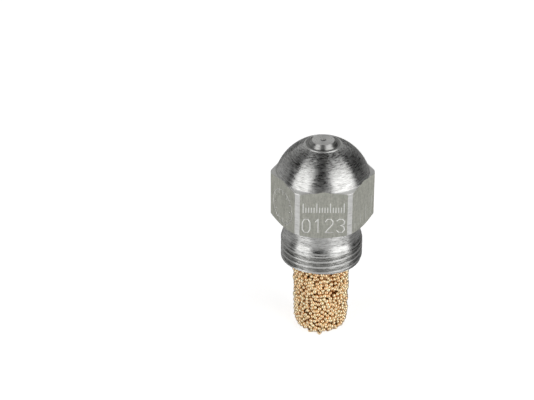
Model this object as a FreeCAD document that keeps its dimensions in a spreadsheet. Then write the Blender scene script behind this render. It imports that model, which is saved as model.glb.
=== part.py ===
"""Oil burner nozzle with a sintered bronze filter, in millimetres.

The nozzle stands on the closed end of its filter. The origin is the centre of that end, +Z points
along the nozzle's axis towards the spray orifice, and the hexagon's corners lie on the X axis, so two
of its flats face -Y and +Y.

Each piece is a turned or sintered part of its own: the body, the orifice disc pressed into it from
behind, the distributor with its swirl slots, the lock screw that clamps the distributor, the brass
filter adapter on the lock screw's spigot, and the filter itself.
"""
import FreeCAD, Part
import math
import os
import Sketcher

FULL_TURN = 360
THROUGH_ALL = 1
PITCH_AND_HEIGHT = 0
START_POINT = 1
END_POINT = 2
LEFT = 1
RIGHT = -1

# alias: (value in mm or degrees, what it is)
SIZES = {
    # heights along the axis, from the bottom of the filter
    "seal_face": (14.25, "rear end of the body"),
    "counterbore_floor": (16.2, "floor of the rear counterbore, seat of the filter adapter"),
    "thread_end": (18.1, "front end of the outer thread's full crests"),
    "run_out_end": (18.6, "front end of the land in front of the thread"),
    "hex_bottom": (22.4, "rear face of the hexagon"),
    "clamp_plane": (22.4, "where the lock screw meets the distributor"),
    "swirl_plane": (31.4, "where the distributor meets the orifice disc"),
    "disc_seat": (33.6, "shoulder that holds the orifice disc"),
    "nose_base": (36.4, "groove between the disc's nose and the rim"),
    "nose_top": (37.1, "flat end of the nose"),
    # body
    "hex_across_flats": (15.875, "5/8 in spanner size"),
    "hex_corner_radius": (8.89, "turned corners of the hexagon"),
    "hex_bottom_bevel": (0.6, "height of the bevel under the hexagon"),
    "hex_bottom_flat": (7.84, "outer radius of the hexagon's rear face"),
    "shoulder_height": (31.12, "shoulder at the foot of the dome"),
    "shoulder_drop": (0.16, "fall of that shoulder to the corners"),
    "foot_round": (0.15, "hollow round between the shoulder and the dome"),
    "corner_break": (0.09, "broken edge round the shoulder"),
    "dome_radius": (8.4, "sphere of the domed front"),
    "dome_centre": (28.62, "height of the sphere's centre"),
    "nose_hole": (2.94, "radius of the hole in the dome, and of the disc's neck in it"),
    "rim_width": (0.26, "width of the rolled rim round that hole"),
    "rim_round": (0.14, "radius of the rolled rim"),
    "neck_radius": (6.6, "undercut between thread and hexagon"),
    "neck_fillet": (0.35, "bevel between the neck and the hexagon"),
    "flare_round": (1.6, "hollow round where the neck flares out"),
    "run_out_radius": (6.97, "land between that hollow and the thread"),
    "bore_radius": (4.2, "bore for the disc and the distributor"),
    "counterbore_radius": (5.3, "rear counterbore"),
    "end_bevel": (0.27, "bevel at the start of the outer thread"),
    # outer thread, 9/16-24 UNEF with the clearance of class 2A
    "outer_thread_radius": (7.11, "crests of the outer thread"),
    "outer_thread_depth": (0.615, "depth of the outer thread"),
    "outer_thread_start": (13.56, "height of the groove on the +X side"),
    "outer_thread_turns": (4.25, "turns of the groove"),
    # both threads are 24 to the inch
    "pitch": (25.4 / 24, "thread pitch"),
    "flank_angle": (30, "half angle of both threads"),
    "root_flat": (0.132, "flat at the bottom of a groove"),
    # inner thread, 3/8-24
    "inner_groove_radius": (4.83, "bottom of the tapped groove"),
    "inner_groove_start": (15.5, "height of the tapped groove on the +X side"),
    "inner_groove_turns": (6, "turns of the tapped groove"),
    "inner_groove_half": (0.09, "half width of the tapped groove's bottom"),
    "screw_crest_radius": (4.7, "crests of the lock screw"),
    "screw_root_radius": (4.05, "core of the lock screw"),
    "screw_groove_half": (0.089, "half width of the lock screw groove's bottom"),
    "screw_groove_turns": (6.25, "turns of the lock screw's groove"),
    "groove_overrun": (0.05, "how far a thread cutter stands out of the metal"),
    # orifice disc
    "nose_radius": (1.92, "flat end of the nose"),
    "nose_foot": (2.55, "foot of the nose"),
    "orifice_radius": (0.25, "spray orifice"),
    "countersink_radius": (0.48, "mouth of the orifice"),
    "countersink_depth": (0.22, "depth of that mouth"),
    "swirl_mouth": (3.0, "wide end of the disc's inner cone"),
    "swirl_angle": (30, "half angle of the swirl cone"),
    # distributor
    "cone_gap": (0.05, "radial gap between distributor and disc cones"),
    "head_radius": (3.7, "head of the distributor"),
    "head_height": (2.4, "height of the head"),
    "stem_radius": (2.4, "stem of the distributor"),
    "foot_radius": (3.9, "foot flange of the distributor"),
    "foot_height": (1.5, "height of the foot flange"),
    "cone_tip_radius": (0.7, "tip of the distributor's cone"),
    "swirl_slot_width": (0.4, "width of a swirl slot"),
    "swirl_slot_offset": (1.1, "how far a slot lies off the axis"),
    "swirl_slot_depth": (0.6, "depth of a slot in the head's rim"),
    "swirl_slot_rise": (2.0, "height of a slot's end on the cone"),
    "swirl_slot_end": (1.2, "width of a slot at that end"),
    "swirl_slot_turn": (0.8, "how far below the cone a slot turns inwards"),
    "swirl_slot_inset": (0.2, "depth of a slot's bottom inside the stem's radius"),
    "slot_overrun": (0.5, "how far a slot cutter stands out of the metal"),
    "foot_notch_radius": (0.8, "oil notches in the foot flange"),
    # lock screw
    "screw_thread_end": (20.9, "front end of the lock screw's thread"),
    "screw_lead_in": (0.4, "bevels at both ends of its thread"),
    "collar_radius": (3.4, "collar in front of its thread"),
    "oil_bore_radius": (1.25, "axial oil bore"),
    "oil_bore_end": (21.7, "end of the full oil bore"),
    "drill_point": (0.35, "height of the drill's point"),
    "cross_hole_radius": (0.45, "cross holes in the collar"),
    "cross_hole_height": (21.4, "height of the cross holes"),
    "spigot_radius": (3.0, "spigot that carries the filter"),
    "spigot_end": (12.2, "rear end of the spigot"),
    "spigot_bevel": (0.25, "bevel at the spigot's end"),
    "driver_slot_width": (1.0, "slot for a screwdriver"),
    "driver_slot_depth": (1.4, "depth of that slot"),
    # filter adapter
    "adapter_bore": (3.04, "bore of the adapter, a push fit on the spigot"),
    "adapter_radius": (3.7, "sleeve inside the filter"),
    "adapter_end": (12.9, "rear end of the sleeve"),
    "adapter_flange_radius": (4.85, "flange of the adapter"),
    "adapter_flange": (0.6, "thickness of that flange"),
    # filter
    "filter_top_radius": (5.0, "outside of the filter at its mouth"),
    "filter_foot_radius": (4.7, "outside of the filter above its closed end"),
    "filter_foot_round": (1.7, "rounding round the closed end"),
    "filter_hollow_top": (3.55, "hollow under the adapter"),
    "filter_hollow_foot": (3.4, "hollow above its closed end"),
    "filter_floor": (1.6, "thickness of the closed end"),
    # stamped marks
    "stamp_depth": (0.09, "depth of the stamped marks"),
    "stamp_line": (0.17, "width of a stamped line"),
    "stamp_middle": (26.75, "height of the middle of the stamped marks"),
}


def make_sheet(doc):
    """Puts every driving dimension into the spreadsheet, one row each."""
    sheet = doc.addObject("Spreadsheet::Sheet", "sizes")
    for row, (alias, (value, note)) in enumerate(SIZES.items(), start=1):
        sheet.set(f"A{row}", note)
        sheet.set(f"B{row}", repr(float(value)))
        sheet.setAlias(f"B{row}", alias)
    doc.recompute()
    return sheet


def size(alias):
    """A driving dimension's value."""
    return SIZES[alias][0]


def cell(words):
    """Turns a formula in alias names into an expression that reads the spreadsheet."""
    for alias in sorted(SIZES, key=len, reverse=True):
        words = replace_word(words, alias)
    return words


def replace_word(words, alias):
    """Prefixes alias with the sheet's name wherever it stands as a whole word."""
    pieces = []
    word = ""
    for letter in words + " ":
        if letter.isalnum() or letter in "_.":
            word += letter
            continue
        pieces.append("sizes." + word if word == alias else word)
        pieces.append(letter)
        word = ""
    return "".join(pieces).strip()


def origin_plane(body, role):
    """One of the body's own base planes, XY_Plane, XZ_Plane or YZ_Plane."""
    return next(feature for feature in body.Origin.OriginFeatures if feature.Role == role)


def new_sketch(body, name, role, lift=None):
    """An empty sketch on a base plane of the body, lifted off it by a formula."""
    sketch = body.newObject("Sketcher::SketchObject", name)
    sketch.AttachmentSupport = [(origin_plane(body, role), "")]
    sketch.MapMode = "FlatFace"
    if lift:
        sketch.setExpression("AttachmentOffset.Base.z", cell(lift))
    return sketch


def number(owner, formula):
    """What a formula in alias names comes to."""
    value = owner.evalExpression(cell(formula))
    return float(getattr(value, "Value", value))


def bind(sketch, constraint, formula):
    """Adds a constraint and ties its value to the spreadsheet."""
    index = sketch.addConstraint(constraint)
    sketch.setExpression(f"Constraints[{index}]", cell(formula))


def draw_arc(sketch, start, end, radius, side):
    """Draws a minor arc that bulges to the given side on the way from start to end."""
    chord = end - start
    across = FreeCAD.Vector(-chord.y, chord.x, 0).normalize()
    rise = radius - math.sqrt(radius ** 2 - (chord.Length / 2) ** 2)
    crown = (start + end) * 0.5 + across * (rise * side)
    if side == LEFT:
        start, end = end, start
    sketch.addGeometry(Part.Arc(start, crown, end), False)


def outline(sketch, corners, arcs=()):
    """Draws a closed outline through corners, each two formulas, all tied to the spreadsheet.

    arcs maps the index of a corner to the arc that starts there: a formula for its radius, and the
    side to which it bulges on the way, LEFT or RIGHT.
    """
    arcs = dict(arcs)
    places = [FreeCAD.Vector(number(sketch, across), number(sketch, up), 0) for across, up in corners]
    starts = []
    for index, place in enumerate(places):
        following = places[(index + 1) % len(places)]
        radius, side = arcs.get(index, (None, RIGHT))
        if radius:
            draw_arc(sketch, place, following, number(sketch, radius), side)
        else:
            sketch.addGeometry(Part.LineSegment(place, following), False)
        starts.append(END_POINT if side == LEFT else START_POINT)
    for index, (across, up) in enumerate(corners):
        following = (index + 1) % len(corners)
        end = START_POINT if starts[index] == END_POINT else END_POINT
        joined = Sketcher.Constraint("Coincident", index, end, following, starts[following])
        sketch.addConstraint(joined)
        point = (-1, 1, index, starts[index])
        bind(sketch, Sketcher.Constraint("DistanceX", *point, places[index].x), across)
        bind(sketch, Sketcher.Constraint("DistanceY", *point, places[index].y), up)
    for index, (radius, _) in arcs.items():
        bind(sketch, Sketcher.Constraint("Radius", index, number(sketch, radius)), radius)


def circle(sketch, across, up, radius):
    """Draws one circle, its centre and radius tied to the spreadsheet."""
    centre = FreeCAD.Vector(number(sketch, across), number(sketch, up), 0)
    shape = Part.Circle(centre, FreeCAD.Vector(0, 0, 1), number(sketch, radius))
    index = sketch.addGeometry(shape, False)
    bind(sketch, Sketcher.Constraint("DistanceX", -1, 1, index, 3, centre.x), across)
    bind(sketch, Sketcher.Constraint("DistanceY", -1, 1, index, 3, centre.y), up)
    bind(sketch, Sketcher.Constraint("Radius", index, shape.Radius), radius)


def turn(body, name, corners, arcs=()):
    """Turns a half outline about the nozzle's axis; corners are radius and height."""
    sketch = new_sketch(body, name + "_outline", "XZ_Plane")
    outline(sketch, corners, arcs)
    turned = body.newObject("PartDesign::Revolution", name)
    turned.Profile = sketch
    turned.ReferenceAxis = (sketch, ["V_Axis"])
    turned.Angle = FULL_TURN
    return turned


def thread_groove(body, name, start, turns, bottom, mouth, half_bottom):
    """Cuts a right-hand V groove; bottom and mouth are its radii, half_bottom its half width there."""
    half_mouth = f"({half_bottom} + abs({mouth} - {bottom}) * tan(flank_angle * 1 deg))"
    sketch = new_sketch(body, name + "_outline", "XZ_Plane")
    outline(sketch, [
        (bottom, f"{start} - {half_bottom}"),
        (mouth, f"{start} - {half_mouth}"),
        (mouth, f"{start} + {half_mouth}"),
        (bottom, f"{start} + {half_bottom}"),
    ])
    groove = body.newObject("PartDesign::SubtractiveHelix", name)
    groove.Profile = sketch
    groove.ReferenceAxis = (sketch, ["V_Axis"])
    groove.Mode = PITCH_AND_HEIGHT
    groove.setExpression("Pitch", cell("pitch"))
    groove.setExpression("Height", cell(f"pitch * {turns}"))
    groove.Angle = 0
    return groove


def pocket_through(body, name, sketch, length=None):
    """Cuts a sketch symmetrically through the body, right through it or over a stated length."""
    pocket = body.newObject("PartDesign::Pocket", name)
    pocket.Profile = sketch
    pocket.Midplane = True
    if length:
        pocket.setExpression("Length", cell(length))
    else:
        pocket.Type = THROUGH_ALL
    return pocket


def repeat_round_axis(body, name, feature, count, angle=FULL_TURN):
    """Repeats a feature round the nozzle's axis."""
    pattern = body.newObject("PartDesign::PolarPattern", name)
    pattern.Originals = [feature]
    pattern.Axis = (origin_axis(body), [""])
    pattern.Angle = angle
    pattern.Occurrences = count
    body.Tip = pattern
    return pattern


def origin_axis(body):
    """The body's own Z axis."""
    return next(feature for feature in body.Origin.OriginFeatures if feature.Role == "Z_Axis")


def new_body(doc, label):
    """An empty PartDesign body with its label."""
    body = doc.addObject("PartDesign::Body", label)
    body.Label = label
    return body


def make_nozzle_blank(doc):
    """The body before stamping: turned outline, bore, six flats, outer and inner thread."""
    body = new_body(doc, "nozzle_blank")
    flare = "run_out_end + sqrt(flare_round^2 - (flare_round - run_out_radius + neck_radius)^2)"
    foot = ("sqrt((dome_radius + foot_round)^2"
            " - (shoulder_height + foot_round - dome_centre)^2)")
    share = "dome_radius / (dome_radius + foot_round)"
    rim_outside = "nose_hole + rim_width"
    rim_height = f"dome_centre + sqrt(dome_radius^2 - ({rim_outside})^2)"
    turn(body, "blank", [
        ("counterbore_radius", "seal_face"),
        ("outer_thread_radius - end_bevel", "seal_face"),
        ("outer_thread_radius", "seal_face + end_bevel"),
        ("outer_thread_radius", "thread_end"),
        ("run_out_radius", "thread_end + outer_thread_radius - run_out_radius"),
        ("run_out_radius", "run_out_end"),
        ("neck_radius", flare),
        ("neck_radius", "hex_bottom - neck_fillet"),
        ("neck_radius + neck_fillet", "hex_bottom"),
        ("hex_bottom_flat", "hex_bottom"),
        ("hex_corner_radius", "hex_bottom + hex_bottom_bevel"),
        ("hex_corner_radius", "shoulder_height - shoulder_drop - corner_break"),
        ("hex_corner_radius - corner_break", "shoulder_height - shoulder_drop"),
        (foot, "shoulder_height"),
        (f"{foot} * {share}",
         f"dome_centre + (shoulder_height + foot_round - dome_centre) * {share}"),
        (rim_outside, rim_height),
        ("nose_hole", rim_height),
        ("nose_hole", "disc_seat"),
        ("bore_radius", "disc_seat"),
        ("bore_radius", "counterbore_floor"),
        ("counterbore_radius", "counterbore_floor"),
    ], {5: ("flare_round", LEFT), 13: ("foot_round", LEFT), 14: ("dome_radius", RIGHT),
        15: ("rim_round", RIGHT)})
    flats = new_sketch(body, "flats_outline", "XY_Plane")
    draw_hexagon(flats)
    circle(flats, "0", "0", "hex_corner_radius * 2")
    pocket_through(body, "flats", flats)
    thread_groove(body, "outer_thread", "outer_thread_start", "outer_thread_turns",
                  "outer_thread_radius - outer_thread_depth", "outer_thread_radius + groove_overrun",
                  "root_flat / 2")
    thread_groove(body, "inner_thread", "inner_groove_start", "inner_groove_turns",
                  "inner_groove_radius", "bore_radius - groove_overrun", "inner_groove_half")
    return body


def draw_hexagon(sketch):
    """The spanner hexagon, corners on the X axis."""
    corners = []
    for index in range(6):
        angle = index * 60
        reach = "hex_across_flats / 2 / cos(30 deg)"
        corners.append((f"{reach} * cos({angle} deg)", f"{reach} * sin({angle} deg)"))
    outline(sketch, corners)


# Each digit is a few lines on a grid 2 wide and 4 high.
DIGITS = {
    "0": [[(0, 1), (0, 3), (0.5, 4), (1.5, 4), (2, 3), (2, 1), (1.5, 0), (0.5, 0), (0, 1)]],
    "1": [[(0.4, 3.2), (1.1, 4), (1.1, 0)]],
    "2": [[(0, 3.2), (0.5, 4), (1.5, 4), (2, 3.3), (1.9, 2.5), (0, 0), (2, 0)]],
    "3": [[(0, 3.5), (0.6, 4), (1.5, 4), (2, 3.3), (1.8, 2.4), (1, 2.1)],
          [(1, 2.1), (1.8, 1.8), (2, 0.8), (1.4, 0), (0.5, 0), (0, 0.6)]],
}
DIGIT_GRID_HEIGHT = 4
SERIAL = "0123"
SERIAL_HEIGHT = 2.6
SERIAL_STEP = 1.95
SERIAL_BASELINE = -3.15
SCALE_BASELINE = 0.75
SCALE_HEIGHTS = (1.7, 0.9, 0.9, 0.9, 0.9)
SCALE_TICKS = 16
SCALE_STEP = 0.46
RING_RADIUS = 3.1
RING_TICKS = 12
RING_TICK_LENGTH = 0.8
RING_CENTRE = -0.4
GAUGE_TICKS = 4
GAUGE_HEIGHT = 1
GAUGE_GROWTH = 0.8


def stamped_line(start, end):
    """A straight stamped line with round ends, lying in the XY plane, cut downwards from z = 0."""
    width = size("stamp_line")
    depth = size("stamp_depth")
    up = FreeCAD.Vector(0, 0, 1)
    start = FreeCAD.Vector(*start, -depth)
    end = FreeCAD.Vector(*end, -depth)
    along = end - start
    side = up.cross(along).normalize() * (width / 2)
    corners = [start - side, end - side, end + side, start + side, start - side]
    bar = Part.Face(Part.makePolygon(corners)).extrude(up * depth * 2)
    caps = [Part.makeCylinder(width / 2, depth * 2, place, up) for place in (start, end)]
    return bar.fuse(caps)


def digit_lines(digit, left, base, height):
    """The lines of one digit, with its lower left corner at left and base."""
    unit = height / DIGIT_GRID_HEIGHT
    lines = []
    for stroke in DIGITS[digit]:
        places = [(left + across * unit, base + up * unit) for across, up in stroke]
        lines += list(zip(places, places[1:]))
    return lines


def front_mark():
    """A row of four plain digits with a small graduated scale above it."""
    width = SERIAL_STEP * (len(SERIAL) - 1) + SERIAL_HEIGHT / 2
    lines = []
    for index, digit in enumerate(SERIAL):
        lines += digit_lines(digit, index * SERIAL_STEP - width / 2, SERIAL_BASELINE, SERIAL_HEIGHT)
    for index in range(SCALE_TICKS):
        across = (index - (SCALE_TICKS - 1) / 2) * SCALE_STEP
        height = SCALE_HEIGHTS[index % len(SCALE_HEIGHTS)]
        lines.append(((across, SCALE_BASELINE), (across, SCALE_BASELINE + height)))
    return Part.makeCompound([stamped_line(*line) for line in lines])


def ring_mark():
    """A plain ring with short ticks pointing inwards."""
    width = size("stamp_line")
    depth = size("stamp_depth")
    base = FreeCAD.Vector(0, RING_CENTRE, -depth)
    outer = Part.makeCylinder(RING_RADIUS + width / 2, depth * 2, base)
    inner = Part.makeCylinder(RING_RADIUS - width / 2, depth * 2, base)
    marks = [outer.cut(inner)]
    for index in range(RING_TICKS):
        angle = 2 * math.pi * index / RING_TICKS
        near = RING_RADIUS - RING_TICK_LENGTH
        ends = [(radius * math.cos(angle), RING_CENTRE + radius * math.sin(angle))
                for radius in (near, RING_RADIUS)]
        marks.append(stamped_line(*ends))
    return Part.makeCompound(marks)


def gauge_mark():
    """Four upright ticks of growing height."""
    lines = []
    for index in range(GAUGE_TICKS):
        across = (index - (GAUGE_TICKS - 1) / 2) * SERIAL_STEP
        top = SERIAL_BASELINE + GAUGE_HEIGHT + index * GAUGE_GROWTH
        lines.append(((across, SERIAL_BASELINE), (across, top)))
    return Part.makeCompound([stamped_line(*line) for line in lines])


def on_flat(mark, flat_angle):
    """Lays a mark on the flat whose outward normal is at flat_angle degrees round the axis."""
    shape = mark.copy()
    shape.rotate(FreeCAD.Vector(), FreeCAD.Vector(1, 0, 0), 90)
    shape.translate(FreeCAD.Vector(0, -size("hex_across_flats") / 2, size("stamp_middle")))
    shape.rotate(FreeCAD.Vector(), FreeCAD.Vector(0, 0, 1), flat_angle + 90)
    return shape


def make_nozzle_body(doc):
    """The finished body: the blank with its stamped marks cut in."""
    blank = make_nozzle_blank(doc)
    stamps = doc.addObject("Part::Feature", "stamps")
    marks = [on_flat(front_mark(), -90), on_flat(ring_mark(), -150), on_flat(gauge_mark(), -30)]
    stamps.Shape = Part.makeCompound(marks)
    stamped = doc.addObject("Part::Cut", "nozzle_body")
    stamped.Base = blank
    stamped.Tool = stamps
    stamped.Label = "nozzle_body"
    return stamped


def make_orifice_disc(doc):
    """The nose insert: flange, neck, coned nose, swirl cone inside and the countersunk orifice."""
    body = new_body(doc, "orifice_disc")
    turn(body, "disc", [
        ("swirl_mouth", "swirl_plane"),
        ("bore_radius", "swirl_plane"),
        ("bore_radius", "disc_seat"),
        ("nose_hole", "disc_seat"),
        ("nose_hole", "nose_base"),
        ("nose_foot", "nose_base"),
        ("nose_radius", "nose_top"),
        ("countersink_radius", "nose_top"),
        ("orifice_radius", "nose_top - countersink_depth"),
        ("orifice_radius", "swirl_plane + (swirl_mouth - orifice_radius) / tan(swirl_angle * 1 deg)"),
    ])
    return body


def make_distributor(doc):
    """The swirl plug: notched foot, stem, head, and a cone with four tangential slots."""
    body = new_body(doc, "distributor")
    cone_top = "swirl_plane + (swirl_mouth - cone_gap - cone_tip_radius) / tan(swirl_angle * 1 deg)"
    turn(body, "plug", [
        ("0", "clamp_plane"),
        ("foot_radius", "clamp_plane"),
        ("foot_radius", "clamp_plane + foot_height"),
        ("stem_radius", "clamp_plane + foot_height"),
        ("stem_radius", "swirl_plane - head_height"),
        ("head_radius", "swirl_plane - head_height"),
        ("head_radius", "swirl_plane"),
        ("swirl_mouth - cone_gap", "swirl_plane"),
        ("cone_tip_radius", cone_top),
        ("0", cone_top),
    ])
    notch = new_sketch(body, "notch_outline", "XY_Plane", "clamp_plane")
    circle(notch, "foot_radius", "0", "foot_notch_radius")
    notches = pocket_through(body, "notch", notch, "foot_height * 2")
    repeat_round_axis(body, "notches", notches, 3)
    slot = new_sketch(body, "slot_outline", "XZ_Plane", "swirl_slot_offset")
    outline(slot, [
        ("head_radius + slot_overrun", "swirl_plane - head_height - slot_overrun"),
        ("head_radius + slot_overrun", "swirl_plane + slot_overrun"),
        ("stem_radius", "swirl_plane + swirl_slot_rise"),
        ("stem_radius - swirl_slot_end", "swirl_plane + swirl_slot_rise"),
        ("stem_radius - swirl_slot_inset", "swirl_plane"),
        ("head_radius - swirl_slot_depth", "swirl_plane - swirl_slot_turn"),
        ("head_radius - swirl_slot_depth", "swirl_plane - head_height - slot_overrun"),
    ])
    slots = pocket_through(body, "slot", slot, "swirl_slot_width")
    repeat_round_axis(body, "slots", slots, 4)
    return body


def make_lock_screw(doc):
    """The retaining screw: spigot with a driver slot, threaded body, drilled collar."""
    body = new_body(doc, "lock_screw")
    turn(body, "screw", [
        ("oil_bore_radius", "spigot_end"),
        ("spigot_radius - spigot_bevel", "spigot_end"),
        ("spigot_radius", "spigot_end + spigot_bevel"),
        ("spigot_radius", "counterbore_floor"),
        ("screw_crest_radius - screw_lead_in", "counterbore_floor"),
        ("screw_crest_radius", "counterbore_floor + screw_lead_in"),
        ("screw_crest_radius", "screw_thread_end - screw_lead_in"),
        ("screw_crest_radius - screw_lead_in", "screw_thread_end"),
        ("collar_radius", "screw_thread_end"),
        ("collar_radius", "clamp_plane"),
        ("0", "clamp_plane"),
        ("0", "oil_bore_end + drill_point"),
        ("oil_bore_radius", "oil_bore_end"),
    ])
    thread_groove(body, "screw_thread", "(inner_groove_start - pitch / 2)", "screw_groove_turns",
                  "screw_root_radius", "screw_crest_radius + groove_overrun", "screw_groove_half")
    hole = new_sketch(body, "cross_hole_outline", "XZ_Plane")
    circle(hole, "0", "cross_hole_height", "cross_hole_radius")
    holes = pocket_through(body, "cross_hole", hole)
    repeat_round_axis(body, "cross_holes", holes, 2, 90)
    slot = new_sketch(body, "driver_slot_outline", "XZ_Plane")
    outline(slot, [
        ("-driver_slot_width / 2", "spigot_end - slot_overrun"),
        ("driver_slot_width / 2", "spigot_end - slot_overrun"),
        ("driver_slot_width / 2", "spigot_end + driver_slot_depth"),
        ("-driver_slot_width / 2", "spigot_end + driver_slot_depth"),
    ])
    pocket_through(body, "driver_slot", slot)
    return body


def make_filter_adapter(doc):
    """The brass bush in the filter's mouth, with the flange that seats in the counterbore."""
    body = new_body(doc, "filter_adapter")
    turn(body, "bush", [
        ("adapter_bore", "adapter_end"),
        ("adapter_radius", "adapter_end"),
        ("adapter_radius", "counterbore_floor - adapter_flange"),
        ("adapter_flange_radius", "counterbore_floor - adapter_flange"),
        ("adapter_flange_radius", "counterbore_floor"),
        ("adapter_bore", "counterbore_floor"),
    ])
    return body


def make_sintered_filter(doc):
    """The bronze thimble: tapered wall, rounded closed end, stepped mouth for the adapter."""
    body = new_body(doc, "sintered_filter")
    thimble = turn(body, "thimble", [
        ("0", "0"),
        ("filter_foot_radius", "0"),
        ("filter_top_radius", "counterbore_floor - adapter_flange"),
        ("adapter_radius", "counterbore_floor - adapter_flange"),
        ("adapter_radius", "adapter_end"),
        ("filter_hollow_top", "adapter_end"),
        ("filter_hollow_foot", "filter_floor"),
        ("0", "filter_floor"),
    ])
    doc.recompute()
    rounding = body.newObject("PartDesign::Fillet", "foot_rounding")
    rounding.Base = (thimble, [foot_edge(thimble.Shape)])
    rounding.setExpression("Radius", cell("filter_foot_round"))
    return body


def foot_edge(shape):
    """The name of the circular edge round the filter's closed end."""
    for index, edge in enumerate(shape.Edges, start=1):
        box = edge.BoundBox
        if box.ZMax < 1e-6 and abs(edge.Length - 2 * math.pi * size("filter_foot_radius")) < 1e-3:
            return f"Edge{index}"
    raise RuntimeError("the filter's foot edge was not found")


MAKERS = (make_nozzle_body, make_orifice_disc, make_distributor, make_lock_screw,
          make_filter_adapter, make_sintered_filter)


def check_document(doc):
    """Stops if any object of the document failed to compute."""
    for item in doc.Objects:
        if "Invalid" in item.State or "Error" in item.State:
            raise RuntimeError(f"{item.Name} failed: {item.State}")


def check_piece(piece):
    """Stops if a piece is empty, not valid, or not one solid."""
    shape = piece.Shape
    if shape.isNull() or not shape.isValid() or len(shape.Solids) != 1:
        raise RuntimeError(f"{piece.Label} is not one valid solid")


def main():
    """Builds every piece, checks it and writes it to its own STEP file."""
    doc = FreeCAD.newDocument("oil_burner_nozzle")
    make_sheet(doc)
    pieces = [make(doc) for make in MAKERS]
    doc.recompute()
    check_document(doc)
    os.makedirs("parts", exist_ok=True)
    for piece in pieces:
        check_piece(piece)
        piece.Shape.exportStep(f"parts/{piece.Label}.step")
        print(piece.Label, round(piece.Shape.Volume, 1), "mm3")


main()
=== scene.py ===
"""Oil burner nozzle: looks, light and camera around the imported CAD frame.

Every length is in metres in the frame's own axes: origin at the centre of the filter's closed end,
+Z towards the spray orifice.
"""
import bmesh
import bpy
import itertools
import math
import random
from collections import namedtuple
from mathutils import Euler, Matrix, Vector, noise


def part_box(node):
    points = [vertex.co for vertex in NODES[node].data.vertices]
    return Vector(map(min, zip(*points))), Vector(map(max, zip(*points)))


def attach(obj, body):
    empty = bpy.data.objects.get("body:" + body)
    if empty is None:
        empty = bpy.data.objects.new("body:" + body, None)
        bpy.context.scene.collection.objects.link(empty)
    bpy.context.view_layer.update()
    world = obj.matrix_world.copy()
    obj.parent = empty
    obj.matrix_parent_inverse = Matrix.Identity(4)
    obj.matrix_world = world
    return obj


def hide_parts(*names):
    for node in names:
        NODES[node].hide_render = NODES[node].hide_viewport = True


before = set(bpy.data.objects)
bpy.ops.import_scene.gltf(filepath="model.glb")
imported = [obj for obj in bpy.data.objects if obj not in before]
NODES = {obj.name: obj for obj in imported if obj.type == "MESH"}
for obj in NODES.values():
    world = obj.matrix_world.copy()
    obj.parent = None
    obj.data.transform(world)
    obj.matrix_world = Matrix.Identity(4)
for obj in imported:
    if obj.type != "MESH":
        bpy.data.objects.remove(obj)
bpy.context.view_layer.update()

MM = 0.001

# ---------------------------------------------------------------- sizes of the CAD pieces

# Half the width over the hexagon's flats, the height of the nose's end and of the filter's mouth.
FLATS_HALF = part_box("nozzle_body")[1].y
NOSE_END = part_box("orifice_disc")[1].z
MOUTH_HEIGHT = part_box("sintered_filter")[1].z

# How far a surface may lie from its nominal place and still be taken for it.
SLACK = 0.01 * MM
# Marks are stamped 0.09 mm deep into the flats, between these heights and within this radius.
STAMP_LIMIT = 0.108 * MM
STAMP_LOW = 23.1 * MM
STAMP_HIGH = 30.6 * MM
STAMP_REACH = 8.8 * MM
# The turned strips on the hexagon's corners lie outside this radius.
CORNER_REACH = 8.84 * MM
# The thread's crests lie outside this radius and under this height; they get a painted highlight.
CREST_REACH = 7.05 * MM
THREAD_TOP = 18.7 * MM
# The rolled rim round the nose, by radius and height, which gets a painted highlight, and the top of the
# groove between the two, below which the nose insert gets painted shade.
RIM_REACH = 3.3 * MM
RIM_LOW = 36.2 * MM
GROOVE_TOP = 36.45 * MM
# The narrow band where the dome meets the hexagon, which gets a painted highlight.
SHOULDER_LOW = 30.86 * MM
SHOULDER_HIGH = 31.2 * MM


# ---------------------------------------------------------------- node helpers

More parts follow.
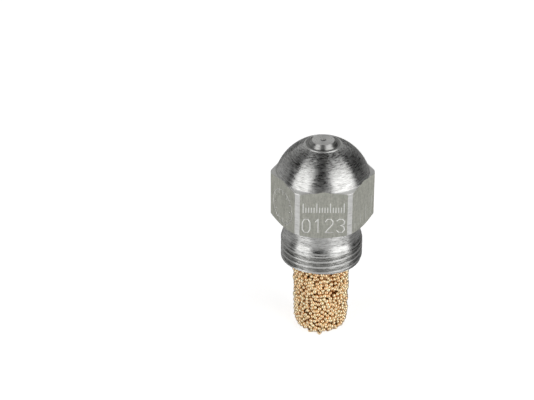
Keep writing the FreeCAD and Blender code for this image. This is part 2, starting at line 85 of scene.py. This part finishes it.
class Nodes:
    """A node tree, with short calls to add nodes and link them."""

    def __init__(self, tree):
        self.tree = tree

    def add(self, kind, **settings):
        node = self.tree.nodes.new(kind)
        for key, value in settings.items():
            setattr(node, key, value)
        return node

    def put(self, value, target):
        """Links a socket, or sets a plain number, vector or opaque colour."""
        if isinstance(value, bpy.types.NodeSocket):
            self.tree.links.new(value, target)
        elif target.type == "RGBA":
            target.default_value = (*value, 1.0)
        else:
            target.default_value = value

    def math(self, operation, first, second=0.0, clamp=False):
        node = self.add("ShaderNodeMath", operation=operation, use_clamp=clamp)
        self.put(first, node.inputs[0])
        self.put(second, node.inputs[1])
        return node.outputs[0]

    def above(self, value, limit):
        """A mask: 1 where the value is over the limit, 0 elsewhere."""
        return self.math("GREATER_THAN", value, limit)

    def below(self, value, limit):
        """A mask: 1 where the value is under the limit, 0 elsewhere."""
        return self.math("LESS_THAN", value, limit)

    def both(self, first, second):
        """A mask: 1 where both masks are 1."""
        return self.math("MULTIPLY", first, second)

    def vector_math(self, operation, first, second=(0.0, 0.0, 0.0)):
        """Vector arithmetic; DOT_PRODUCT and LENGTH give a number."""
        node = self.add("ShaderNodeVectorMath", operation=operation)
        self.put(first, node.inputs[0])
        self.put(second, node.inputs[1])
        return node.outputs["Value" if operation in ("DOT_PRODUCT", "LENGTH") else "Vector"]

    def split(self, vector):
        node = self.add("ShaderNodeSeparateXYZ")
        self.put(vector, node.inputs[0])
        return node.outputs

    def combine(self, across, deep, up):
        node = self.add("ShaderNodeCombineXYZ")
        for value, socket in zip((across, deep, up), node.inputs):
            self.put(value, socket)
        return node.outputs[0]

    def noise(self, vector, scale, detail=3.0, rough=0.5, w=None):
        node = self.add("ShaderNodeTexNoise", noise_dimensions="3D" if w is None else "4D")
        self.put(vector, node.inputs["Vector"])
        self.put(scale, node.inputs["Scale"])
        self.put(detail, node.inputs["Detail"])
        self.put(rough, node.inputs["Roughness"])
        if w is not None:
            self.put(w, node.inputs["W"])
        return node.outputs["Fac"]

    def remap(self, value, span, new_span=(0.0, 1.0)):
        """Maps one span of values onto another, and holds the ends."""
        node = self.add("ShaderNodeMapRange")
        self.put(value, node.inputs["Value"])
        for name, number in zip(("From Min", "From Max", "To Min", "To Max"), (*span, *new_span)):
            self.put(number, node.inputs[name])
        return node.outputs["Result"]

    def mix_number(self, share, first, second):
        node = self.add("ShaderNodeMix", data_type="FLOAT")
        self.put(share, node.inputs[0])
        self.put(first, node.inputs[2])
        self.put(second, node.inputs[3])
        return node.outputs[0]

    def mix_colour(self, share, first, second):
        node = self.add("ShaderNodeMix", data_type="RGBA")
        self.put(share, node.inputs[0])
        self.put(first, node.inputs[6])
        self.put(second, node.inputs[7])
        return node.outputs[2]

    def bump(self, height, strength, distance, normal=None):
        node = self.add("ShaderNodeBump")
        self.put(strength, node.inputs["Strength"])
        self.put(distance, node.inputs["Distance"])
        self.put(height, node.inputs["Height"])
        if normal is not None:
            self.put(normal, node.inputs["Normal"])
        return node.outputs["Normal"]


class Shader(Nodes):
    """A material with one principled shader."""

    def __init__(self, name):
        self.material = bpy.data.materials.new(name)
        self.material.use_nodes = True
        super().__init__(self.material.node_tree)
        self.tree.nodes.clear()
        self.bsdf = self.add("ShaderNodeBsdfPrincipled")
        self.put(self.bsdf.outputs["BSDF"], self.add("ShaderNodeOutputMaterial").inputs["Surface"])

    def feed(self, name, value):
        """Links or sets one of the principled shader's own inputs."""
        self.put(value, self.bsdf.inputs[name])


# ---------------------------------------------------------------- metal textures

# Where most of a noise's values lie. The tight span gives more contrast than the wide one.
WIDE_SPAN = (0.35, 0.65)
TIGHT_SPAN = (0.38, 0.62)
# Turned by this, in whole turns, the anisotropy belongs to marks that run round the axis.
QUARTER_TURN = 0.25

Turned = namedtuple("Turned", "place direction radius height")


def turned_coordinates(shader):
    """A surface point of a piece turned about +Z: place, direction from the axis, radius, height."""
    place = shader.add("ShaderNodeTexCoord").outputs["Object"]
    across, deep, up = shader.split(place)
    flat = shader.combine(across, deep, 0.0)
    return Turned(place, shader.vector_math("NORMALIZE", flat), shader.vector_math("LENGTH", flat), up)


def turning_marks(shader, at, lines_per_mm, marks_per_radian):
    """Noise that runs in rings round the axis: fine across, slow along."""
    along = shader.vector_math("MULTIPLY", at.direction, (marks_per_radian,) * 3)
    across, deep, _ = shader.split(along)
    vector = shader.combine(across, deep, shader.math("MULTIPLY", at.radius, lines_per_mm / MM))
    layer = shader.math("MULTIPLY", at.height, lines_per_mm / MM)
    return shader.noise(vector, 1.0, detail=4.0, rough=0.6, w=layer)


def streaks(shader, at):
    """Turning marks at two scales, 0 to 1: dashes that can be seen, and the hairlines in them."""
    dashes = turning_marks(shader, at, lines_per_mm=4.6, marks_per_radian=7.0)
    hairs = turning_marks(shader, at, lines_per_mm=13.0, marks_per_radian=4.0)
    hair_share = 0.35
    return shader.mix_number(hair_share, dashes, hairs)


def upright_lines(shader, at, across_per_mm, up_per_mm):
    """Noise drawn out along the axis."""
    scale = (across_per_mm / MM, across_per_mm / MM, up_per_mm / MM)
    return shader.noise(shader.vector_math("MULTIPLY", at.place, scale), 1.0, detail=3.0, rough=0.6)


def upright_grain(shader, at):
    """Drawn grain of the flats, running up and down, over a fine mottle, 0 to 1."""
    wide = upright_lines(shader, at, across_per_mm=2.8, up_per_mm=0.35)
    thin = upright_lines(shader, at, across_per_mm=8.0, up_per_mm=0.9)
    mottle = shader.noise(at.place, scale=2.4 / MM, detail=5.0, rough=0.7)
    thin_share = 0.45
    mottle_share = 0.45
    return shader.mix_number(mottle_share, shader.mix_number(thin_share, wide, thin), mottle)


def metal(name, colour, roughness, anisotropic=0.0):
    """A metal shader with its mean values set; an anisotropic one is turned about +Z."""
    shader = Shader(name)
    shader.feed("Base Color", colour)
    shader.feed("Metallic", 1.0)
    shader.feed("Roughness", roughness)
    shader.feed("Anisotropic", anisotropic)
    if anisotropic:
        tangent = shader.add("ShaderNodeTangent", direction_type="RADIAL", axis="Z")
        shader.feed("Tangent", tangent.outputs[0])
        shader.feed("Anisotropic Rotation", QUARTER_TURN)
    return shader


def soft_edges(shader, width):
    """The surface's normal with its edges rounded over the given width."""
    node = shader.add("ShaderNodeBevel", samples=4)
    shader.put(width, node.inputs["Radius"])
    return node.outputs["Normal"]


# ---------------------------------------------------------------- stainless body

BODY_TONE = (0.6, 0.6, 0.58)
TURNED_DARK = (0.31, 0.31, 0.30)
TURNED_LIGHT = (0.86, 0.86, 0.845)
FLAT_DARK = (0.40, 0.405, 0.355)
FLAT_LIGHT = (0.71, 0.71, 0.65)
# Painted highlights: the thread's crests, the rim and shoulder edges and the stamped lines are lifted to
# these bright tones.
CREST_HIGHLIGHT_TONE = (0.68, 0.68, 0.665)
EDGE_HIGHLIGHT_TONE = (0.95, 0.95, 0.93)
STAMP_HIGHLIGHT_TONE = (0.98, 0.98, 0.96)
CLOUD_DARK = (0.92, 0.92, 0.92)
CLOUD_LIGHT = (1.06, 1.06, 1.06)
TURNED_ROUGHNESS = (0.18, 0.45)
FLAT_ROUGHNESS = (0.52, 0.70)
EDGE_ROUGHNESS = 0.55
STAMP_ROUGHNESS = 0.3
# The corner strips' marks are calmer: this share of them is a plain middle value.
CORNER_CALM = 0.7
MIDDLE = 0.49

BodyMasks = namedtuple("BodyMasks", "stamped turned corner crest edge")


def flat_distance(shader, place):
    """How far a point reaches towards the nearest hexagon flat, measured from the axis."""
    reach = 0.0
    for angle in (30, 90, 150):
        normal = (math.cos(math.radians(angle)), math.sin(math.radians(angle)), 0.0)
        distance = shader.math("ABSOLUTE", shader.vector_math("DOT_PRODUCT", place, normal))
        reach = shader.math("MAXIMUM", distance, reach)
    return reach


def body_masks(shader, at):
    """Masks of the body's kinds of surface: stamped marks, turned steel, corners, and the crests and edges
    that get a painted highlight.
    """
    reach = flat_distance(shader, at.place)
    flat = shader.above(reach, FLATS_HALF - SLACK)
    stamped = shader.above(reach, FLATS_HALF - STAMP_LIMIT)
    stamped = shader.both(stamped, shader.above(at.height, STAMP_LOW))
    stamped = shader.both(stamped, shader.below(at.height, STAMP_HIGH))
    stamped = shader.both(stamped, shader.below(at.radius, STAMP_REACH))
    stamped = shader.math("SUBTRACT", stamped, flat, clamp=True)
    turned = shader.math("SUBTRACT", 1.0, shader.math("ADD", flat, stamped), clamp=True)
    corner = shader.both(turned, shader.above(at.radius, CORNER_REACH))
    crest = shader.both(shader.above(at.radius, CREST_REACH), shader.below(at.height, THREAD_TOP))
    # The rim and the shoulder band: the edges that get a painted highlight.
    rim = shader.both(shader.below(at.radius, RIM_REACH), shader.above(at.height, RIM_LOW))
    shoulder = shader.both(shader.above(at.height, SHOULDER_LOW), shader.below(at.height, SHOULDER_HIGH))
    edge = shader.math("MAXIMUM", rim, shader.both(turned, shoulder))
    return BodyMasks(stamped, turned, corner, crest, edge)


def body_tone(shader, at, masks, rings, grain):
    """Tone of the body: marks and grain from dark to light, with painted highlights on the crests, edges
    and stamped lines.
    """
    turned = shader.mix_colour(shader.remap(rings, TIGHT_SPAN), TURNED_DARK, TURNED_LIGHT)
    flat = shader.mix_colour(shader.remap(grain, TIGHT_SPAN), FLAT_DARK, FLAT_LIGHT)
    tone = shader.mix_colour(masks.turned, flat, turned)
    # Painted highlight: the thread's crests are lifted to a brighter tone.
    tone = shader.mix_colour(masks.crest, tone, CREST_HIGHLIGHT_TONE)
    # Painted highlight: the rim and the shoulder band are lifted to a near-white tone.
    tone = shader.mix_colour(masks.edge, tone, EDGE_HIGHLIGHT_TONE)
    # Painted highlight: the stamped lines are lifted to a near-white tone, as if their walls caught the
    # light.
    tone = shader.mix_colour(masks.stamped, tone, STAMP_HIGHLIGHT_TONE)
    cloud = shader.noise(at.place, scale=0.35 / MM)
    return shader.vector_math("MULTIPLY", tone, shader.mix_colour(cloud, CLOUD_DARK, CLOUD_LIGHT))


def body_roughness(shader, masks, rings, grain):
    """Roughness of the body: glossy where it is turned, duller on its flats and edges."""
    turned = shader.remap(rings, WIDE_SPAN, TURNED_ROUGHNESS)
    flat = shader.remap(grain, WIDE_SPAN, FLAT_ROUGHNESS)
    rough = shader.mix_number(masks.turned, flat, turned)
    rough = shader.mix_number(masks.edge, rough, EDGE_ROUGHNESS)
    return shader.mix_number(masks.stamped, rough, STAMP_ROUGHNESS)


def body_steel():
    """Stainless body: turned dome, neck and corners, drawn flats with an upright grain, and a painted
    highlight on the stamped marks.
    """
    shader = metal("body_steel", BODY_TONE, roughness=0.3, anisotropic=0.85)
    at = turned_coordinates(shader)
    masks = body_masks(shader, at)
    calm = shader.math("MULTIPLY", masks.corner, CORNER_CALM)
    rings = shader.mix_number(calm, streaks(shader, at), MIDDLE)
    grain = upright_grain(shader, at)
    texture = shader.mix_number(masks.turned, grain, rings)
    edges = soft_edges(shader, width=0.06 * MM)
    shader.feed("Normal", shader.bump(texture, strength=1.0, distance=0.04 * MM, normal=edges))
    shader.feed("Roughness", body_roughness(shader, masks, rings, grain))
    shader.feed("Anisotropic Rotation", shader.math("MULTIPLY", masks.turned, QUARTER_TURN))
    shader.feed("Base Color", body_tone(shader, at, masks, rings, grain))
    return shader.material


# ---------------------------------------------------------------- nose insert and inner pieces

DISC_TONE = (0.62, 0.62, 0.6)
CONE_DARK = (0.40, 0.40, 0.39)
CONE_LIGHT = (0.70, 0.70, 0.68)
FACE_DARK = (0.66, 0.66, 0.64)
FACE_LIGHT = (0.84, 0.84, 0.82)
# Painted shade in the groove round the nose's foot.
GROOVE_SHADE_TONE = (0.30, 0.30, 0.29)
DISC_ROUGHNESS = (0.26, 0.5)
INNER_SPAN = (0.3, 0.7)
INNER_ROUGHNESS = (0.22, 0.42)
DISTRIBUTOR_DARK = (0.52, 0.52, 0.51)
DISTRIBUTOR_LIGHT = (0.62, 0.62, 0.6)
SCREW_DARK = (0.72, 0.53, 0.25)
SCREW_LIGHT = (0.84, 0.66, 0.36)
ADAPTER_DARK = (0.74, 0.55, 0.27)
ADAPTER_LIGHT = (0.86, 0.68, 0.38)


def disc_steel():
    """The nose insert: the same steel, turned finer, with a brighter end and painted shade in the groove
    at its foot.
    """
    shader = metal("disc_steel", DISC_TONE, roughness=0.36, anisotropic=0.7)
    at = turned_coordinates(shader)
    rings = turning_marks(shader, at, lines_per_mm=6.0, marks_per_radian=2.5)
    shader.feed("Normal", shader.bump(rings, strength=0.8, distance=0.02 * MM))
    shader.feed("Roughness", shader.remap(rings, WIDE_SPAN, DISC_ROUGHNESS))
    share = shader.remap(rings, TIGHT_SPAN)
    cone = shader.mix_colour(share, CONE_DARK, CONE_LIGHT)
    face = shader.mix_colour(share, FACE_DARK, FACE_LIGHT)
    tone = shader.mix_colour(shader.above(at.height, NOSE_END - SLACK), cone, face)
    # Painted shade: everything below the groove's top is darkened.
    tone = shader.mix_colour(shader.below(at.height, GROOVE_TOP), tone, GROOVE_SHADE_TONE)
    shader.feed("Base Color", tone)
    return shader.material


def turned_metal(name, dark, light):
    """A turned inner piece in two close tones."""
    shader = metal(name, light, roughness=0.3, anisotropic=0.6)
    at = turned_coordinates(shader)
    rings = turning_marks(shader, at, lines_per_mm=7.0, marks_per_radian=1.5)
    shader.feed("Normal", shader.bump(rings, strength=0.4, distance=0.02 * MM))
    shader.feed("Roughness", shader.remap(rings, INNER_SPAN, INNER_ROUGHNESS))
    shader.feed("Base Color", shader.mix_colour(shader.noise(at.place, scale=0.4 / MM), dark, light))
    return shader.material


def give(node, material):
    """Puts one material in every slot of a CAD node."""
    for slot in NODES[node].material_slots:
        slot.material = material


# ---------------------------------------------------------------- sintered filter

# The thimble that the beads cover: radius at its foot, at its mouth and of its hollow.
FOOT_RADIUS = 4.75 * MM
MOUTH_RADIUS = 5.15 * MM
HOLLOW_RADIUS = 3.5 * MM
HOLLOW_FLOOR = 1.6 * MM
HOLLOW_FILLET = 0.4 * MM
FOOT_CLEARANCE = 0.2 * MM
FOOT_ROUND = 1.5 * MM
# The skin runs flat under the foot, round its bend and up the side to the mouth.
FOOT_FLAT = FOOT_RADIUS - FOOT_ROUND
FOOT_BEND = FOOT_ROUND * math.pi / 2
BEND_TOP = FOOT_CLEARANCE + FOOT_ROUND
SKIN_LENGTH = FOOT_FLAT + FOOT_BEND + MOUTH_HEIGHT - FOOT_CLEARANCE - FOOT_ROUND
# The core, a smooth thimble this deep under the skin, closes the gaps between the beads; at this depth it
# takes the beads' painted shade.
CORE_SINK = 0.88 * MM
CORE_SIDES = 96
CORE_STEPS = 60

BEAD = 0.74 * MM
BEAD_SPACING = 0.58 * MM
BEAD_JITTER = (-0.08, 0.16)
BEAD_SPREAD = (0.9, 1.1)
LAYERS = 3
LAYER_STEP = 0.4 * MM
DARTS = 60000
# The skin is lumpy: how deep its hollows are, and how many lumps there are to a millimetre.
LUMP_DEPTH = 0.32 * MM
LUMPS_PER_MM = 0.8
# Clusters of beads that stand proud of the foot: where each lies, how many beads it has, how they spread.
NUBS = ((-0.1 * MM, -3.65 * MM, 8), (-2.05 * MM, -3.1 * MM, 6), (2.4 * MM, 1.9 * MM, 5))
NUB_SPREAD = (0.85, 1.0)
NUB_ACROSS = 0.28 * MM
NUB_DEEP = 0.18 * MM
# A bead's face is left out if its three corners together lie farther inwards than this, in bead radii.
BURIED = -1.05
SEED = 11

BRONZE_TONE = (0.78, 0.55, 0.32)
BEAD_DARK = (0.92, 0.58, 0.31)
BEAD_LIGHT = (1.0, 0.90, 0.62)
# Painted shade: the beads darken to this tone between these depths under the skin.
SUNK_SHADE_TONE = (0.42, 0.19, 0.065)
SUNK_DEPTH = (0.36 * MM, 0.76 * MM)
BEAD_ROUGHNESS = (0.18, 0.38)


def bead_bronze():
    """Sintered bronze beads: warm gold tops, with painted shade, darker and browner, where they sink
    between their neighbours.
    """
    shader = metal("bead_bronze", BRONZE_TONE, roughness=0.35)
    at = turned_coordinates(shader)
    cloud = shader.noise(at.place, scale=2.2 / MM, detail=2.0)
    fine = shader.noise(at.place, scale=14.0 / MM, detail=2.0)
    skin = shader.remap(at.height, (0.0, MOUTH_HEIGHT), (FOOT_RADIUS, MOUTH_RADIUS))
    depth = shader.math("MINIMUM", shader.math("SUBTRACT", skin, at.radius), at.height)
    top = shader.mix_colour(shader.remap(cloud, WIDE_SPAN), BEAD_DARK, BEAD_LIGHT)
    # Painted shade: the deeper under the skin, the darker the tone.
    shader.feed("Base Color", shader.mix_colour(shader.remap(depth, SUNK_DEPTH), top, SUNK_SHADE_TONE))
    shader.feed("Roughness", shader.remap(fine, INNER_SPAN, BEAD_ROUGHNESS))
    shader.feed("Normal", shader.bump(fine, strength=0.3, distance=0.01 * MM))
    return shader.material


def skin_place(along, sink):
    """Radius and height of a point under the thimble's skin; along runs from the foot's middle up."""
    if along < FOOT_FLAT:
        return along, FOOT_CLEARANCE + sink
    if along < FOOT_FLAT + FOOT_BEND:
        tilt = (along - FOOT_FLAT) / FOOT_ROUND
        reach = FOOT_ROUND - sink
        return FOOT_FLAT + reach * math.sin(tilt), BEND_TOP - reach * math.cos(tilt)
    height = BEND_TOP + along - FOOT_FLAT - FOOT_BEND
    return FOOT_RADIUS + (MOUTH_RADIUS - FOOT_RADIUS) * height / MOUTH_HEIGHT - sink, height


def ring_point(radius, angle, height):
    """The point at a radius, an angle round the axis and a height."""
    return Vector((radius * math.cos(angle), radius * math.sin(angle), height))


class Crowd:
    """Points that keep a smallest distance from each other, sorted into cells one spacing wide."""

    def __init__(self, spacing):
        self.spacing = spacing
        self.cells = {}

    def cell(self, point):
        return tuple(int(value // self.spacing) for value in point)

    def room(self, point):
        """True if no point lies closer than the spacing."""
        cell = self.cell(point)
        for step in itertools.product((-1, 0, 1), repeat=3):
            near = self.cells.get(tuple(base + offset for base, offset in zip(cell, step)), ())
            if any((point - other).length < self.spacing for other in near):
                return False
        return True

    def add(self, point):
        self.cells.setdefault(self.cell(point), []).append(point)


def scatter_beads(rng):
    """Bead centres and radii, thrown like darts in layers over the thimble's skin and foot."""
    crowd = Crowd(BEAD_SPACING)
    beads = []
    for layer in range(LAYERS):
        for _ in range(DARTS):
            along = rng.random() * SKIN_LENGTH
            angle = rng.random() * 2 * math.pi
            radius, height = skin_place(along, 0.0)
            spot = ring_point(radius, angle, height)
            lump = LUMP_DEPTH * max(noise.noise(spot * LUMPS_PER_MM / MM), 0.0)
            sink = BEAD / 2 + layer * LAYER_STEP + lump + rng.uniform(*BEAD_JITTER) * BEAD
            radius, height = skin_place(along, sink)
            if rng.random() * MOUTH_RADIUS > radius or height > MOUTH_HEIGHT - BEAD / 2:
                continue
            point = ring_point(radius, angle, height)
            if crowd.room(point):
                crowd.add(point)
                beads.append((point, BEAD * 0.5 * rng.uniform(*BEAD_SPREAD)))
    return beads


def nub_beads(rng):
    """Bead centres and radii of the clusters that stand on the ground under the foot."""
    beads = []
    for across, deep, count in NUBS:
        for _ in range(count):
            size = BEAD * 0.5 * rng.uniform(*NUB_SPREAD)
            spot = Vector((across + rng.gauss(0, NUB_ACROSS), deep + rng.gauss(0, NUB_DEEP), size))
            beads.append((spot, size))
    return beads


def outward(point):
    """The direction out of the thimble at a bead."""
    if point.z > BEND_TOP:
        return Vector((point.x, point.y, 0)).normalized()
    spread = max(math.hypot(point.x, point.y) - FOOT_FLAT, 0)
    direction = Vector((point.x, point.y, 0)).normalized() * spread
    direction.z = point.z - BEND_TOP
    return direction.normalized()


def unit_ball():
    """Corners and faces of a ball with a radius of 1."""
    ball = bmesh.new()
    bmesh.ops.create_icosphere(ball, subdivisions=2, radius=1.0)
    points = [vertex.co.copy() for vertex in ball.verts]
    faces = [[vertex.index for vertex in face.verts] for face in ball.faces]
    ball.free()
    return points, faces


def smooth_mesh(name, vertices, faces):
    """A smooth-shaded mesh."""
    mesh = bpy.data.meshes.new(name)
    mesh.from_pydata(vertices, [], faces)
    mesh.polygons.foreach_set("use_smooth", [True] * len(mesh.polygons))
    return mesh


def bead_mesh(beads, rng):
    """One mesh of slightly squashed balls; the half of each that is buried in the thimble is left out."""
    points, faces = unit_ball()
    vertices = []
    triangles = []
    for centre, size in beads:
        turn = Euler([rng.uniform(0, math.pi) for _ in range(3)]).to_matrix()
        stretch = Matrix.Diagonal([rng.uniform(*BEAD_SPREAD) for _ in range(3)])
        shape = turn @ stretch
        facing = outward(centre)
        moved = [shape @ point for point in points]
        kept = [face for face in faces if sum(moved[index].dot(facing) for index in face) > BURIED]
        used = sorted({index for face in kept for index in face})
        renumber = {index: len(vertices) + place for place, index in enumerate(used)}
        for index in used:
            vertex = centre + moved[index] * size
            vertices.append((vertex.x, vertex.y, max(vertex.z, 0.0)))
        triangles += [[renumber[index] for index in face] for face in kept]
    return smooth_mesh("filter_beads", vertices, triangles)


def core_mesh():
    """The thimble under the beads: an outer skin sunk below them, the hollow and its floor."""
    outside = [skin_place(SKIN_LENGTH * step / CORE_STEPS, CORE_SINK) for step in range(1, CORE_STEPS + 1)]
    inside = [
        (HOLLOW_RADIUS, MOUTH_HEIGHT),
        (HOLLOW_RADIUS - 0.25 * HOLLOW_FILLET, HOLLOW_FLOOR + 0.75 * HOLLOW_FILLET),
        (HOLLOW_RADIUS - HOLLOW_FILLET, HOLLOW_FLOOR),
    ]
    stations = outside + inside
    vertices = [Vector((0.0, 0.0, FOOT_CLEARANCE + CORE_SINK))]
    for radius, height in stations:
        for side in range(CORE_SIDES):
            vertices.append(ring_point(radius, 2 * math.pi * side / CORE_SIDES, height))
    vertices.append(Vector((0.0, 0.0, HOLLOW_FLOOR)))
    last = len(vertices) - 1
    top = last - CORE_SIDES
    faces = []
    for side in range(CORE_SIDES):
        following = (side + 1) % CORE_SIDES
        faces.append((0, 1 + following, 1 + side))
        for ring in range(len(stations) - 1):
            low = 1 + ring * CORE_SIDES
            high = low + CORE_SIDES
            faces.append((low + side, low + following, high + following, high + side))
        faces.append((top + side, top + following, last))
    return smooth_mesh("filter_core", vertices, faces)


def make_filter():
    """The bead skin and its core, in the CAD thimble's place."""
    rng = random.Random(SEED)
    bronze = bead_bronze()
    beads = scatter_beads(rng) + nub_beads(rng)
    for name, mesh in (("filter_beads", bead_mesh(beads, rng)), ("filter_core", core_mesh())):
        piece = bpy.data.objects.new(name, mesh)
        bpy.context.scene.collection.objects.link(piece)
        mesh.materials.append(bronze)
        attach(piece, "filter")
        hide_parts("sintered_filter")


# ---------------------------------------------------------------- floor, light, camera

FLOOR_HALF = 2.0
FLOOR_TONE = (0.85, 0.85, 0.85)
FLOOR_GLOW = 0.72
WHITE = (1.0, 1.0, 1.0)
# The soft boxes face this point, near the nozzle's middle.
AIM = Vector((0, 0, 22 * MM))
# The surround: its grey fades in below the horizon, and is stronger on the camera's side.
HORIZON_FADE = (-0.12, 0.02)
DEPTH_FADE = (-0.9, 0.2)
TABLE_STRENGTH = (0.7, 0.25)
ROOM_STRENGTH = 0.03
# The camera stands in front of the nozzle and looks down at it.
CAMERA_PLACE = Vector((-9.52, -276.4, 188.1)) * MM
CAMERA_DIP = 30.5
CAMERA_LENS = 125.5
CAMERA_SENSOR = 36.0


def make_floor():
    """A plain white floor with a little light of its own; it stays under the filter in every pose."""
    mesh = bpy.data.meshes.new("floor")
    signs = ((-1, -1), (1, -1), (1, 1), (-1, 1))
    corners = [(FLOOR_HALF * across, FLOOR_HALF * deep, 0) for across, deep in signs]
    mesh.from_pydata(corners, [], [(0, 1, 2, 3)])
    floor = bpy.data.objects.new("floor", mesh)
    bpy.context.scene.collection.objects.link(floor)
    shader = Shader("floor_white")
    shader.feed("Base Color", FLOOR_TONE)
    shader.feed("Roughness", 0.8)
    shader.feed("Specular IOR Level", 0.1)
    shader.feed("Emission Color", WHITE)
    shader.feed("Emission Strength", FLOOR_GLOW)
    mesh.materials.append(shader.material)
    floor.visible_glossy = False
    floor.visible_shadow = False
    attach(floor, "filter")


def soft_box(name, azimuth, elevation, distance, width, height, radiance):
    """A soft box that faces the nozzle; azimuth 0 is the camera's side, positive to the right."""
    turn = math.radians(azimuth)
    rise = math.radians(elevation)
    offset = Vector((math.sin(turn) * math.cos(rise), -math.cos(turn) * math.cos(rise), math.sin(rise)))
    data = bpy.data.lights.new(name, "AREA")
    data.shape = "RECTANGLE"
    data.size = width
    data.size_y = height
    data.energy = radiance * math.pi * width * height
    light = bpy.data.objects.new(name, data)
    light.location = AIM + offset * distance
    light.rotation_euler = offset.to_track_quat("Z", "Y").to_euler()
    bpy.context.scene.collection.objects.link(light)


def make_light():
    """Two tall soft boxes with a dark gap between them, a pale card on the left, one light behind."""
    soft_box("left_box", azimuth=-54, elevation=18, distance=0.5, width=0.40, height=0.80, radiance=1.5)
    soft_box("right_box", azimuth=52, elevation=17, distance=0.5, width=0.56, height=0.78, radiance=1.6)
    soft_box("left_card", azimuth=-122, elevation=0, distance=0.5, width=0.5, height=0.5, radiance=0.22)
    soft_box("back_box", azimuth=180, elevation=38, distance=0.6, width=0.7, height=0.42, radiance=0.5)


def make_surround():
    """The dim studio round the lights: dark above, and grey below, where the table is."""
    world = bpy.data.worlds.new("surround")
    bpy.context.scene.world = world
    world.use_nodes = True
    nodes = Nodes(world.node_tree)
    _, deep, up = nodes.split(nodes.add("ShaderNodeTexCoord").outputs["Generated"])
    below = nodes.remap(up, HORIZON_FADE, (1.0, 0.0))
    table = nodes.remap(deep, DEPTH_FADE, TABLE_STRENGTH)
    background = world.node_tree.nodes["Background"]
    strength = nodes.math("ADD", nodes.math("MULTIPLY", below, table), ROOM_STRENGTH)
    nodes.put(strength, background.inputs["Strength"])
    nodes.put(WHITE, background.inputs["Color"])


def make_camera():
    """The camera, level from side to side."""
    data = bpy.data.cameras.new("camera")
    data.lens = CAMERA_LENS
    data.sensor_width = CAMERA_SENSOR
    data.clip_start = 10 * MM
    camera = bpy.data.objects.new("camera", data)
    camera.location = CAMERA_PLACE
    camera.rotation_euler = (math.radians(90 - CAMERA_DIP), 0, 0)
    bpy.context.scene.collection.objects.link(camera)
    bpy.context.scene.camera = camera


make_camera()
give("nozzle_body", body_steel())
give("orifice_disc", disc_steel())
give("distributor", turned_metal("distributor_steel", DISTRIBUTOR_DARK, DISTRIBUTOR_LIGHT))
give("lock_screw", turned_metal("screw_brass", SCREW_DARK, SCREW_LIGHT))
give("filter_adapter", turned_metal("adapter_brass", ADAPTER_DARK, ADAPTER_LIGHT))
make_filter()
make_floor()
make_light()
make_surround()
bpy.context.scene.view_settings.view_transform = "Standard"
